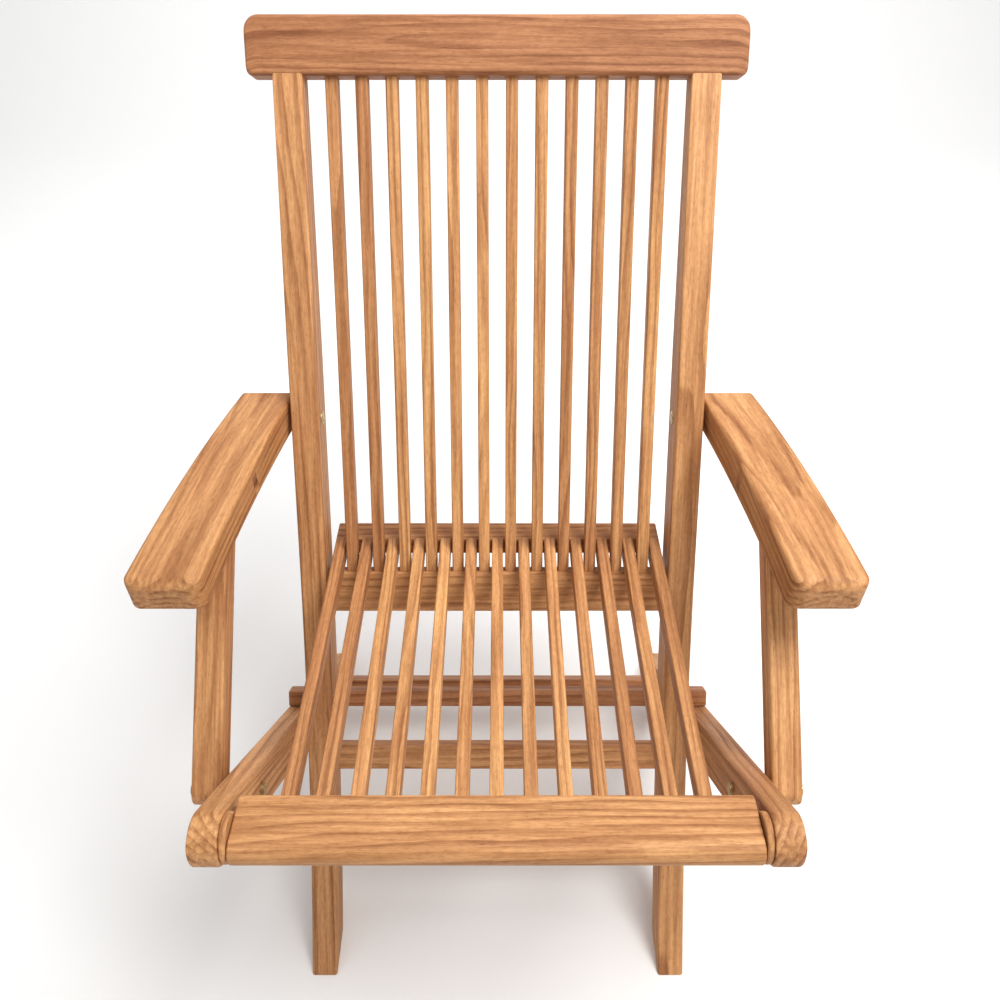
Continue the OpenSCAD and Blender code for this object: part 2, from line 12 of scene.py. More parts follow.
import bpy
import numpy as np
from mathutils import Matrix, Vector


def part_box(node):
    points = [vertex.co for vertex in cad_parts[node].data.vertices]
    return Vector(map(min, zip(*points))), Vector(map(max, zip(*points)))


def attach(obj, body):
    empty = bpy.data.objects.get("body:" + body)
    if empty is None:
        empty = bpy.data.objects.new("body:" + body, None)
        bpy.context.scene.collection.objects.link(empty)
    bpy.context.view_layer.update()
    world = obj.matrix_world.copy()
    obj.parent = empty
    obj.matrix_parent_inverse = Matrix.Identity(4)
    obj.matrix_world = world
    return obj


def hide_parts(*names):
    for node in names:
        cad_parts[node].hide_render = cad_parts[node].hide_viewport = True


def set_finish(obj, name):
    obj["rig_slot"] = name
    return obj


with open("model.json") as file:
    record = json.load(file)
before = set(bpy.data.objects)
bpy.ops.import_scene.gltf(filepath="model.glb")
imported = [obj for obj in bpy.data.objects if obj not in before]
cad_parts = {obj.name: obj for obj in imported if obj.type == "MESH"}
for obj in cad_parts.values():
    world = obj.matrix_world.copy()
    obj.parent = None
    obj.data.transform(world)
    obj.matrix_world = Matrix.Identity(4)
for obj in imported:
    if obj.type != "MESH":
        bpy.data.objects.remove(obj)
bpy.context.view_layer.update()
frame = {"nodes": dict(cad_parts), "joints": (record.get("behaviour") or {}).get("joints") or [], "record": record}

# %% [markdown]
# ## Measures
# The pivots come from the frame's joints, so the new sticks meet the bolts exactly. The rest
# are the chair's own sizes in metres. The side view is a plane of y and z, and two slanted
# directions in it do most of the work: up the back, and back along the seat.

# %% Measures of the chair
MM = 0.001
BACK_LEAN = math.radians(29.2)
SEAT_SLOPE = math.radians(5.5)
SEAT_H, SEAT_DEPTH = 423 * MM, 389 * MM
BACK_LEN = 509 * MM
PITCH, SEAT_SLATS = 31 * MM, 13
STILE_D, STILE_TOP_D, SWEEP_R, SWEEP_DROP = 44 * MM, 30 * MM, 2300 * MM, 8 * MM
REAR_LEG_D, POST_D = 48 * MM, 30 * MM
CREST_H, CREST_T, CREST_R = 57 * MM, 31 * MM, 15 * MM
RAIL_D, RAIL_T = 58 * MM, 27 * MM
ARM_LEN, ARM_TAIL, ARM_T = 300 * MM, 22 * MM, 40 * MM
ARM_REAR_W, ARM_NOSE_W, ARM_SPLAY = 61 * MM, 70 * MM, 37 * MM
ARM_RISE, ARM_ARCH, ARM_NOSE_R = 14 * MM, 8 * MM, 14 * MM
STILE_IN = 198.5 * MM
LOWER_RAIL_H, LOWER_RAIL_T = 49 * MM, 22 * MM
SEAT_SLAT_H, SEAT_RAIL_H, SEAT_RAIL_T = 20 * MM, 30 * MM, 24 * MM
SIDE_GAP, RAIL_GAP = 0.5 * MM, 6.5 * MM
STRETCHER_H, STRETCHER_T, BAR_SIDE = 30 * MM, 20 * MM, 20 * MM
UPPER_DROP, LOWER_H = 31 * MM, 126 * MM
IN_TENON = 1 * MM

pivot = {j["name"]: np.array(j["pos_m"][1:]) for j in frame["joints"]}
cross, seat_pin = pivot["leg_fold"], pivot["seat_fold"]
arm_pin, post_pin = pivot["arm_fold_left"], pivot["post_fold_left"]
swing = {j["name"]: math.radians(j["range_deg"][1]) for j in frame["joints"]}

up = np.array([math.sin(BACK_LEAN), math.cos(BACK_LEAN)])
behind = np.array([math.cos(BACK_LEAN), -math.sin(BACK_LEAN)])
seat_back = np.array([math.cos(SEAT_SLOPE), -math.sin(SEAT_SLOPE)])
seat_up = np.array([math.sin(SEAT_SLOPE), math.cos(SEAT_SLOPE)])
seat_ref = arm_pin - up * (arm_pin[1] - SEAT_H) / up[1]
leg_dir = (cross - seat_pin) / np.linalg.norm(cross - seat_pin)


def on_back(t, n=0.0):
    """A point of the side view t up the stile from the seat's top and n behind its middle."""
    return seat_ref + t * up + n * behind


def on_seat(d, w=0.0):
    """A point of the side view d behind the stile's middle along the seat and w above it."""
    return seat_ref + d * seat_back + w * seat_up


print("seat meets back at", seat_ref.round(4), "crossing at", cross.round(4))

# %% [markdown]
# ## The stick maker
# Almost every piece is a stick: a rectangle with eased corners, carried along a path. Real
# sanded teak has no sharp edges, and the light that its small round edges catch is what
# shows that a stick is solid. The same easing closes the ends: near an end the section
# shrinks along a quarter circle, so the end face has a soft rim too. Each point also
# remembers where in the plank it lies, along, across and through, and the wood uses that.

# %% Profiles, stations and meshes
EASE = 2.2 * MM
rng = np.random.default_rng(31)


def easing(length, ease, steps=4):
    """Stations along a stick and how far its section is drawn in at each.

    Near both ends the distance is e = r(1 - cos a) and the inset r(1 - sin a), for a from
    0 to 90 degrees, which is a quarter circle of radius r.
    """
    a = np.linspace(0, math.pi / 2, steps + 1)
    e, inset = ease * (1 - np.cos(a)), ease * (1 - np.sin(a))
    return np.concatenate([e, length - e[::-1]]), np.concatenate([inset, inset[::-1]])


def eased_rings(half_a, half_b, r, steps=4):
    """Rectangles with round corners, one for each station.

    A corner's points are its centre, (half - r), plus r times (cos, sin) over 90 degrees.
    """
    quarter = np.linspace(0, math.pi / 2, steps + 1)
    turn = np.concatenate([quarter + k * math.pi / 2 for k in range(4)])
    sign_a = np.repeat([1, -1, -1, 1], steps + 1)
    sign_b = np.repeat([1, 1, -1, -1], steps + 1)
    a = sign_a * (half_a - r)[:, None] + r[:, None] * np.cos(turn)
    b = sign_b * (half_b - r)[:, None] + r[:, None] * np.sin(turn)
    return a, b


def grid_faces(rows, cols):
    """Quads of a grid whose columns close on themselves, and the two end caps."""
    i, j = np.meshgrid(np.arange(rows - 1), np.arange(cols), indexing="ij")
    k = (j + 1) % cols
    quads = np.stack([i * cols + j, i * cols + k, (i + 1) * cols + k, (i + 1) * cols + j], -1)
    last = (rows - 1) * cols
    caps = [list(range(cols))[::-1], list(range(last, last + cols))]
    return quads.reshape(-1, 4).tolist() + caps


def outward(points, faces):
    """The faces, turned over if the closed surface's signed volume says they face inwards."""
    quads = np.array([f for f in faces if len(f) == 4])
    p = points[quads]
    volume = np.einsum("ij,ij->i", p[:, 0], np.cross(p[:, 1], p[:, 2])).sum()
    volume += np.einsum("ij,ij->i", p[:, 0], np.cross(p[:, 2], p[:, 3])).sum()
    return faces if volume > 0 else [f[::-1] for f in faces]


def build(name, points, faces, grain, tone):
    """A mesh object with smooth faces, its grain coordinates and its tone."""
    centre = points.mean(0)
    mesh = bpy.data.meshes.new(name)
    mesh.from_pydata(points.tolist(), [], outward(points - centre, faces))
    mesh.polygons.foreach_set("use_smooth", np.ones(len(mesh.polygons), bool))
    store = mesh.attributes.new("grain", "FLOAT_VECTOR", "POINT")
    store.data.foreach_set("vector", grain.astype(np.float32).ravel())
    shade = mesh.attributes.new("tone", "FLOAT", "POINT")
    shade.data.foreach_set("value", np.full(len(points), tone, np.float32))
    piece = bpy.data.objects.new(name, mesh)
    bpy.context.scene.collection.objects.link(piece)
    weighted = piece.modifiers.new("even shading", "WEIGHTED_NORMAL")
    weighted.keep_sharp = True
    return piece


# %% [markdown]
# ## A log to cut from
# A board's figure depends on where it lay in the log. Sawn through the middle it shows
# straight lines, and sawn off to one side it shows arches, because the rings meet its face at
# a shallow angle. So each piece draws its own distance from the log's heart and its own
# small tilt, and these are added to its grain coordinates.

# %% Cutting pieces from the log
def cut_from_log(along, across, through, flat_sawn):
    """Grain coordinates: along the log, and the two distances from its heart.

    heart distance = place in the plank + the plank's offset + its tilt times the length.
    """
    if flat_sawn:
        offset = np.array([rng.uniform(-8, 8), rng.uniform(26, 40)]) * MM
        tilt = rng.uniform(0.03, 0.06, 2) * rng.choice([-1, 1], 2) * [0.15, 1]
    else:
        offset = rng.uniform(18, 70, 2) * rng.choice([-1, 1], 2) * MM
        tilt = rng.uniform(-0.018, 0.018, 2)
    start = rng.uniform(0, 9)
    side = across + offset[0] + tilt[0] * along
    deep = through + offset[1] + tilt[1] * along
    return np.stack([along + start, side, deep], -1)


def carried(name, middle, a_dir, b_dir, half_a, half_b, along, inset, ease,
            flat_sawn=False, tone=None):
    """A stick: an eased rectangle carried along its middle line.

    point = middle + a * a_dir + b * b_dir, with (a, b) on the eased rectangle.
    """
    half_a, half_b = half_a - inset, half_b - inset
    r = np.maximum(np.minimum(np.minimum(half_a, half_b) * 0.98, ease - inset), 0.05 * MM)
    a, b = eased_rings(half_a, half_b, r)
    points = middle[:, None] + a[..., None] * a_dir[:, None] + b[..., None] * b_dir[:, None]
    rows, cols = a.shape
    length = np.repeat(along[:, None], cols, 1)
    grain = cut_from_log(length.ravel(), a.ravel(), b.ravel(), flat_sawn)
    tone = rng.uniform(0, 1) if tone is None else tone
    return build(name, points.reshape(-1, 3), grid_faces(rows, cols), grain, tone)


def straight(name, p, q, a_dir, half_a, half_b, ease=EASE, **wood):
    """A straight stick from p to q. a_dir is across it, and its third direction is square."""
    p, q, a_dir = (np.array(v, float) for v in (p, q, a_dir))
    length = np.linalg.norm(q - p)
    run = (q - p) / length
    b_dir = np.cross(run, a_dir)
    s, inset = easing(length, ease)
    middle = p + s[:, None] * run
    full = np.ones(len(s))
    return carried(name, middle, np.tile(a_dir, (len(s), 1)), np.tile(b_dir, (len(s), 1)),
                   half_a * full, half_b * full, s, inset, ease, **wood)


def at(x, yz):
    """A point of the chair from a distance across it and a point of the side view."""
    return np.array([x, yz[0], yz[1]])


ACROSS = np.array([1.0, 0.0, 0.0])
pieces = {}


def keep(piece, body, node, slot):
    """Gives a finished piece its body, the node that it stands for and its material slot."""
    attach(piece, body)
    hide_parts(node)
    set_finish(piece, slot)
    pieces[node] = piece
    return piece


# %% [markdown]
# ## Slats
# The seat and back are combs of slim slats that pass between each other. Every slat is cut
# from a different board, so no two share a colour. The last few per cent of width also
# vary from slat to slat, as hand sanding leaves them.

# %% Back slats and seat slats
SLAT_EASE = 1.6 * MM
SLAT_HALF_W = (6.3 * MM, 6.5 * MM)
BACK_SLAT_HALF_D, SEAT_SLAT_HALF_H, SEAT_SLAT_MID = 8 * MM, 9.9 * MM, -10.05 * MM
back_x = (np.arange(1, SEAT_SLATS) - SEAT_SLATS / 2) * PITCH
seat_x = (np.arange(1, SEAT_SLATS + 1) - (SEAT_SLATS + 1) / 2) * PITCH
lower_rail_top = LOWER_RAIL_T / 2 * behind @ seat_up - SEAT_SLAT_H - SIDE_GAP
lower_rail_top /= up @ seat_up
rail_face = (BACK_SLAT_HALF_D + RAIL_GAP) / math.cos(BACK_LEAN - SEAT_SLOPE)
tuck = 3 * MM
for i, x in enumerate(back_x, 1):
    node = f"back_slat_{i:02d}"
    slat = straight(node + "_wood", at(x, on_back(lower_rail_top - tuck)),
                    at(x, on_back(BACK_LEN + tuck)), ACROSS,
                    rng.uniform(*SLAT_HALF_W), BACK_SLAT_HALF_D, SLAT_EASE)
    keep(slat, "back_frame", node, "teak_slat")
for i, x in enumerate(seat_x, 1):
    node = f"seat_slat_{i:02d}"
    front_end = on_seat(-SEAT_DEPTH + RAIL_D - tuck, SEAT_SLAT_MID)
    slat = straight(node + "_wood", at(x, front_end),
                    at(x, on_seat(rail_face + tuck, SEAT_SLAT_MID)), ACROSS,
                    rng.uniform(*SLAT_HALF_W), SEAT_SLAT_HALF_H, SLAT_EASE)
    keep(slat, "seat", node, "teak_slat")
print(len(back_x), "back slats and", len(seat_x), "seat slats")

# %% [markdown]
# ## Stiles
# A stile is one long plank that leans back as the side of the chair's back and sweeps
# forward below the seat as a front leg. Its middle line is straight and then an arc. Its
# foot is sawn level, so the last section lies in the floor and not square to the leg.

# %% Stiles
STILE_EASE, TAPER_START, TOP_TUCK = 3 * MM, 74 * MM, 2 * MM
sweep_start = on_back(-SWEEP_DROP)
sweep_centre = sweep_start - SWEEP_R * behind


def sweep_points(lean, n):
    """Points n behind the arc's middle line, where the leg leans by the given angles."""
    return sweep_centre + (SWEEP_R + n)[:, None] * np.stack([np.cos(lean), -np.sin(lean)], -1)


def lean_at_floor(n):
    """The lean at which a line n behind the leg's middle reaches the floor: its arc sine."""
    return math.asin(sweep_centre[1] / (SWEEP_R + n))


def stile(side):
    """The plank between a front edge and a rear edge, each straight above and an arc below."""
    half = STILE_D / 2
    arc = np.linspace(0, 1, 26)
    edges = []
    for n in (-half, half):
        lean = BACK_LEAN + (lean_at_floor(n) - BACK_LEAN) * arc
        low = sweep_points(lean, np.full(len(arc), n))[::-1]
        taper_from = (arm_pin[1] - SEAT_H) / up[1] + TAPER_START
        top_n = math.copysign(STILE_TOP_D / 2, n)
        high = [on_back(taper_from, n), on_back(BACK_LEN + TOP_TUCK, top_n)]
        edges.append(np.concatenate([low, high]))
    front, rear = edges
    foot_s, foot_inset = easing(1.0, EASE)
    foot_s, foot_inset = foot_s[:4], foot_inset[:4]
    down = (front[0] - front[1]) / np.linalg.norm(front[0] - front[1])
    toe = [(front[0] - down * s, rear[0] - down * s) for s in foot_s]
    front = np.concatenate([[t[0] for t in toe], front[1:]])
    rear = np.concatenate([[t[1] for t in toe], rear[1:]])
    inset = np.concatenate([foot_inset, np.zeros(len(front) - 4)])
    middle, reach = (front + rear) / 2, (rear - front) / 2
    half_b = np.linalg.norm(reach, axis=1)
    b_dir = reach / half_b[:, None]
    step = np.linalg.norm(np.diff(middle, axis=0), axis=1)
    along = np.concatenate([[0], np.cumsum(step)])
    lo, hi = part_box("stile_left" if side < 0 else "stile_right")
    x = (lo.x + hi.x) / 2
    rows = len(middle)
    solid = np.concatenate([np.full((rows, 1), x), middle], 1)
    b3 = np.concatenate([np.zeros((rows, 1)), b_dir], 1)
    # tone 0.5 + 0.08 * side is painted light: the right stile lighter and the left darker, as if lit from the
    # right
    return carried("stile_wood_left" if side < 0 else "stile_wood_right", solid,
                   np.tile(ACROSS, (rows, 1)), b3, np.full(rows, (hi.x - lo.x) / 2), half_b,
                   along, inset, STILE_EASE, tone=0.5 + 0.08 * side)


keep(stile(-1), "back_frame", "stile_left", "teak_frame")
keep(stile(1), "back_frame", "stile_right", "teak_frame")
print("two stiles, swept from", sweep_start.round(4))

# %% [markdown]
# ## Bars with round ends
# The rear legs end in a half round beside the seat's front rail, and the arm posts are half
# round at both ends. A half round is a section whose depth follows the circle: at a distance
# e from the tip the half depth is the root of R squared less (R - e) squared.

# %% Rear legs and posts
LEG_EASE, POST_EASE = 3 * MM, 2.6 * MM
TIP_ANGLE = 0.12


def round_bar(name, p, q, x0, x1, depth, round_far, ease, **wood):
    """A bar from p to q in the side view, round past p, and past q or sawn level at q."""
    radius = depth / 2
    run = (q - p) / np.linalg.norm(q - p)
    a = np.linspace(TIP_ANGLE, math.pi / 2, 14)
    tip = radius * (1 - np.cos(a))
    half = radius * np.sin(a)
    length = np.linalg.norm(q - p)
    if round_far:
        s = np.concatenate([tip - radius, length + radius - tip[::-1]])
        half_b = np.concatenate([half, half[::-1]])
    else:
        s = np.concatenate([tip - radius, [length - ease, length]])
        half_b = np.concatenate([half, [radius, radius]])
    b_dir = np.array([-run[1], run[0]])
    middle = p + s[:, None] * run
    b_all = np.tile(b_dir, (len(s), 1))
    if not round_far:
        # the last two sections lie level, where the leg is sawn along the floor
        level = np.array([1.0, 0.0])
        half_b[-2:] = radius / abs(run[1])
        b_all[-2:] = level if b_dir @ level > 0 else -level
        middle[-2] = middle[-1] - run * ease / abs(run[1])
    rows = len(s)
    solid = np.concatenate([np.full((rows, 1), (x0 + x1) / 2), middle], 1)
    b3 = np.concatenate([np.zeros((rows, 1)), b_all], 1)
    inset = np.zeros(rows)
    if not round_far:
        inset[-1] = ease * 0.6
    return carried(name, solid, np.tile(ACROSS, (rows, 1)), b3,
                   np.full(rows, (x1 - x0) / 2), half_b, s, inset, ease, **wood)


leg_foot = cross + leg_dir * cross[1] / -leg_dir[1]
lo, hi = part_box("post_foot_bolts_left")
post_foot = np.array([(lo.y + hi.y) / 2, (lo.z + hi.z) / 2])
for side in ("left", "right"):
    lo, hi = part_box(f"rear_leg_{side}")
    leg = round_bar(f"rear_leg_wood_{side}", seat_pin, leg_foot, lo.x, hi.x, REAR_LEG_D,
                    False, LEG_EASE)
    keep(leg, "rear_legs", f"rear_leg_{side}", "teak_frame")
    lo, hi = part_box(f"post_{side}")
    post = round_bar(f"post_wood_{side}", post_foot, post_pin, lo.x, hi.x, POST_D, True,
                     POST_EASE)
    keep(post, f"post_assembly_{side}", f"post_{side}", "teak_frame")
print("rear legs to the floor at", leg_foot.round(4), "posts to", post_foot.round(4))

# %% [markdown]
# ## Rails and stretchers
# The rails that cross the chair are plain eased sticks, except two. The crest rail has
# rounder top corners, and the seat's front rail is a board with a half-round nose, because
# it meets the backs of the sitter's knees.

# %% Plain rails and stretchers
def cross_rail(node, body, slot, mid, v, height, thick, half_width, ease=EASE, **wood):
    """A stick across the chair, height along the side-view direction v, centred on mid."""
    direction = at(0, v)
    rail = straight(node + "_wood", at(-half_width, mid), at(half_width, mid), direction,
                    height / 2, thick / 2, ease, **wood)
    return keep(rail, body, node, slot)


def leg_frame(height):
    """Where the front leg's middle line is at a height, and the direction up it there."""
    lean = math.asin((sweep_centre[1] - height) / SWEEP_R)
    return (sweep_points(np.array([lean]), np.zeros(1))[0],
            np.array([math.sin(lean), math.cos(lean)]))


cross_rail("lower_back_rail", "back_frame", "teak_frame",
           on_back(lower_rail_top - LOWER_RAIL_H / 2), up, LOWER_RAIL_H, LOWER_RAIL_T,
           STILE_IN + IN_TENON)
cross_up = leg_frame(cross[1])[1]
for node, height in (("upper_leg_stretcher", cross[1] - UPPER_DROP * cross_up[1]),
                     ("lower_leg_stretcher", LOWER_H)):
    mid, v = leg_frame(height)
    cross_rail(node, "back_frame", "teak_frame", mid, v, STRETCHER_H, STRETCHER_T,
               STILE_IN + IN_TENON)
lo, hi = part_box("stop_bar")
cross_rail("stop_bar", "back_frame", "teak_red", np.array([(lo.y + hi.y) / 2,
           (lo.z + hi.z) / 2]), cross_up, BAR_SIDE, BAR_SIDE, hi.x)
REAR_LEG_IN = 236.5 * MM
lo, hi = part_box("rear_leg_stretcher")
cross_rail("rear_leg_stretcher", "rear_legs", "teak_red", np.array([(lo.y + hi.y) / 2,
           (lo.z + hi.z) / 2]), leg_dir, STRETCHER_H, STRETCHER_T, REAR_LEG_IN + IN_TENON)
lo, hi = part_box("seat_rear_rail")
cross_rail("seat_rear_rail", "seat", "teak_frame",
           on_seat(rail_face + SEAT_RAIL_H / 2, -SEAT_RAIL_T / 2), seat_back, SEAT_RAIL_H,
           SEAT_RAIL_T, hi.x)
print("rails and stretchers, the lowest at", LOWER_H)


# %% Crest rail
CREST_LOW_R, CREST_EASE = 6 * MM, 4.5 * MM


def crest():
    """The crest rail, carried across the chair.

    At a distance e from an end the top edge drops by R less the root of R squared less
    (R - e) squared, which is a round corner of radius R, and the bottom one by a smaller R.
    """
    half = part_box("crest_rail")[1].x
    small = CREST_LOW_R
    a = np.linspace(0.1, math.pi / 2, 12)
    e = CREST_R * (1 - np.cos(a))
    drop = CREST_R * (1 - np.sin(a))
    rise = small - np.sqrt(np.maximum(small**2 - np.maximum(small - e, 0) ** 2, 0))
    thin = EASE - np.sqrt(np.maximum(EASE**2 - np.maximum(EASE - e, 0) ** 2, 0))
    x = np.concatenate([-half + e, half - e[::-1]])
    drop, rise, thin = (np.concatenate([v, v[::-1]]) for v in (drop, rise, thin))
    low, high = rise, CREST_H - drop
    centre = on_back(BACK_LEN) + ((low + high) / 2)[:, None] * up
    rows = len(x)
    middle = np.concatenate([x[:, None], centre], 1)
    ones = np.ones(rows)
    return carried("crest_rail_wood", middle, np.tile(at(0, up), (rows, 1)),
                   np.tile(at(0, behind), (rows, 1)), (high - low) / 2,
                   CREST_T / 2 * ones - thin, x + half, 0 * ones, CREST_EASE,
                   flat_sawn=True, tone=0.12)


keep(crest(), "back_frame", "crest_rail", "teak_red")
print("crest rail, its top corners of radius", CREST_R)


# %% Front rail of the seat
def front_rail():
    """A board whose front edge is a half circle of half its thickness.

    The section is listed once round: a half circle of 180 degrees at the nose, and two
    eased corners at the back. It is drawn in towards its middle at both ends.
    """
    r, back_r = RAIL_T / 2, EASE
    nose = np.linspace(math.pi / 2, 3 * math.pi / 2, 19)
    ring = [(r + r * np.cos(nose), -r + r * np.sin(nose))]
    for corner_z, start in ((-RAIL_T + back_r, -math.pi / 2), (-back_r, 0.0)):
        t = np.linspace(start, start + math.pi / 2, 5)
        ring.append((RAIL_D - back_r + back_r * np.cos(t), corner_z + back_r * np.sin(t)))
    d = np.concatenate([part[0] for part in ring])
    w = np.concatenate([part[1] for part in ring])
    lo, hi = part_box("seat_front_rail")
    s, inset = easing(hi.x - lo.x, EASE)
    mid_d, mid_w = RAIL_D / 2, -RAIL_T / 2
    grow = 1 - inset[:, None] / r
    d_all = mid_d + (d - mid_d) * (1 - inset[:, None] / mid_d)
    w_all = mid_w + (w - mid_w) * grow
    x_all = np.repeat((lo.x + s)[:, None], len(d), 1)
    yz = (seat_ref + (d_all[..., None] - SEAT_DEPTH) * seat_back
          + w_all[..., None] * seat_up)
    points = np.concatenate([x_all[..., None], yz], -1).reshape(-1, 3)
    grain = cut_from_log(x_all.ravel(), d_all.ravel(), w_all.ravel(), True)
    # tone 0.62 is painted light: the front rail is made lighter than the middle tone, as a top lit from above
    return build("seat_front_rail_wood", points, grid_faces(len(s), len(d)), grain, 0.62)


keep(front_rail(), "seat", "seat_front_rail", "teak_frame")
print("front rail, its nose of radius", RAIL_T / 2)


# %% [markdown]
# ## Arms
# An arm is a flat board, arched a little along its length, wider at the nose than where it
# is bolted to the stile, and splayed outwards. Its middle line is a parabola. The nose's
# corners are rounded as seen from above, and its rims are eased all round.

# %% Arms
ARM_EASE, BULL_NOSE, EDGE_TRIM = 5 * MM, 11 * MM, 0.2 * MM
HOLE_R, HOLE_DEPTH = 5 * MM, 30 * MM
POCKET_ROOM = 1 * MM


def arm(side):
    """A board carried from the rear end to the nose, its width and place changing as it goes.

    At a fraction f of the length, the height is the rise times f plus 4 * arch * f(1 - f),
    and both side edges run straight from their rear places to their nose places.
    """
    a = np.linspace(0.1, math.pi / 2, 12)
    nose_e = ARM_NOSE_R * (1 - np.cos(a))
    nose_in = ARM_NOSE_R * (1 - np.sin(a))
    tail_e, tail_in = easing(ARM_LEN, EASE)
    tail_e, tail_in = tail_e[:5], tail_in[:5]
    body = np.linspace(0, 1, 24)[1:-1] * (ARM_LEN - ARM_NOSE_R - EASE) + EASE
    s = np.concatenate([tail_e, body, ARM_LEN - nose_e[::-1]])
    draw_in = np.concatenate([tail_in, 0 * body, nose_in[::-1]])
    bull = BULL_NOSE
    thin_nose = bull - np.sqrt(np.maximum(bull**2 - np.maximum(bull - nose_e, 0) ** 2, 0))
    thin = np.concatenate([tail_in, 0 * body, thin_nose[::-1]])
    f = s / ARM_LEN
    inner0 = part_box("stile_right")[1].x + SIDE_GAP
    inner = inner0 + ARM_SPLAY * f
    outer = inner0 + ARM_REAR_W + (ARM_SPLAY + ARM_NOSE_W - ARM_REAR_W) * f
    y = arm_pin[0] + ARM_TAIL - s
    z = arm_pin[1] + ARM_RISE * (f - ARM_TAIL / ARM_LEN) + 4 * ARM_ARCH * f * (1 - f)
    middle = np.stack([side * (inner + outer) / 2, y, z], -1)
    rows = len(s)
    name = "arm_wood_left" if side < 0 else "arm_wood_right"
    # tone 0.45 + 0.1 * side is painted light: the right arm lighter and the left darker, as if lit from the right
    return carried(name, middle, np.tile(ACROSS, (rows, 1)),
                   np.tile([0, 0, 1.0], (rows, 1)),
                   (outer - inner) / 2 - draw_in - EDGE_TRIM, ARM_T / 2 - thin, s, 0 * s,
                   ARM_EASE, flat_sawn=True, tone=0.45 + 0.1 * side)


def bored(piece, name, cuts):
    """Cuts closed meshes out of a piece with Boolean modifiers and keeps the result."""
    for i, cutter in enumerate(cuts):
        cut = piece.modifiers.new(f"{name} {i}", "BOOLEAN")
        cut.operation, cut.solver, cut.object = "DIFFERENCE", "EXACT", cutter
    bpy.context.view_layer.update()
    done = piece.evaluated_get(bpy.context.evaluated_depsgraph_get())
    mesh = bpy.data.meshes.new_from_object(done)
    piece.modifiers.clear()
    piece.data = mesh
    for cutter in cuts:
        bpy.data.objects.remove(cutter)
    return piece


def cylinder(name, centre, radius, x0, x1, sides=40):
    """A closed tube wall and two caps, its axis across the chair: (x, r cos t, r sin t)."""
    t = np.linspace(0, 2 * math.pi, sides, endpoint=False)
    ring = np.stack([0 * t, centre[0] + radius * np.cos(t), centre[1] + radius * np.sin(t)], -1)
    points = np.concatenate([ring + [x0, 0, 0], ring + [x1, 0, 0]])
    return build(name, points, grid_faces(2, sides), points, 0.5)


def pocket_cutter(side):
    """The slot under the arm that the post swings in: a round top and a fan of straight cuts."""
    lo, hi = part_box("post_right")
    r = POST_D / 2 + POCKET_ROOM
    rest = post_foot - post_pin
    start = math.atan2(rest[1], rest[0])
    stop = start + swing["post_fold_left"]
    rim = np.linspace(stop + math.pi / 2, start + 1.5 * math.pi, 16)
    top = post_pin + r * np.stack([np.cos(rim), np.sin(rim)], -1)
    along = [np.array([math.cos(t), math.sin(t)]) for t in (start, stop)]
    fan = np.array([top[-1] + ARM_LEN * along[0], top[0] + ARM_LEN * along[1]])
    outline = np.concatenate([top, fan])
    x0, x1 = side * (lo.x - SIDE_GAP), side * (hi.x + SIDE_GAP)
    cols = len(outline)
    points = np.concatenate([
        np.concatenate([np.full((cols, 1), x), outline], 1) for x in (x0, x1)])
    return build("pocket", points, grid_faces(2, cols), points, 0.5)


for side, word in ((-1, "left"), (1, "right")):
    board = arm(side)
    lo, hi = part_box(f"arm_post_bolts_{word}")
    inner_face = lo.x if side > 0 else hi.x
    hole = cylinder("hole", post_pin, HOLE_R, inner_face - side * HOLE_DEPTH,
                    inner_face + side * SIDE_GAP)
    board = bored(board, "pocket and bolt hole", [pocket_cutter(side), hole])
    keep(board, f"arm_assembly_{word}", f"arm_{word}", "teak_frame")
    print(board.name, "with", len(board.data.polygons), "faces")

# %% [markdown]
# ## Spacers and bolts
# Turned pieces are a short profile spun about the bolt's axis. A bolt head is a low dome with
# a soft rim, and the wooden spacer is a disc with rounded edges.

# %% Turned pieces
def turned(name, centre, x, direction, profile, sides=48, tone=0.5):
    """A profile of (distance along the axis, radius) spun about an axis across the chair.

    point = centre + x + s * direction along the axis, r cos t and r sin t square to it.
    """
    s, r = np.array(profile).T
    t = np.linspace(0, 2 * math.pi, sides, endpoint=False)
    px = np.repeat((x + s * direction)[:, None], sides, 1)
    py = centre[0] + r[:, None] * np.cos(t)
    pz = centre[1] + r[:, None] * np.sin(t)
    points = np.stack([px, py, pz], -1).reshape(-1, 3)
    local = np.stack([px, py - centre[0], pz - centre[1]], -1).reshape(-1, 3)
    grain = cut_from_log(local[:, 1], local[:, 0], local[:, 2], False)
    return build(name, points, grid_faces(len(s), sides), grain, tone)


RIM_SHARE, SUNK = 0.45, 2 * MM


def dome(radius, height):
    """A low dome: a flat back, a rim of quarter circle and a crown that rises as a parabola."""
    rim_r = RIM_SHARE * height
    edge = [(rim_r * math.sin(a), radius - rim_r * (1 - math.cos(a)))
            for a in np.linspace(0, math.pi / 2, 5)]
    crown = [(rim_r + (height - rim_r) * (1 - f * f), (radius - rim_r) * f)
             for f in np.linspace(0.95, 0.02, 8)]
    return [(-SUNK, radius)] + edge + crown


def joined(name, parts):
    """One object from several, so that a group of fasteners stays one piece."""
    with bpy.context.temp_override(active_object=parts[0], selected_editable_objects=parts,
                                   object=parts[0], selected_objects=parts):
        bpy.ops.object.join()
    parts[0].name = name
    return parts[0]


def both(name, centre, x, direction, profile, **kw):
    """The same turned piece on both sides of the chair, mirrored, as one object."""
    parts = [turned(f"{name}_{k}", centre, k * x, k * direction, profile, **kw)
             for k in (-1, 1)]
    return joined(name, parts)


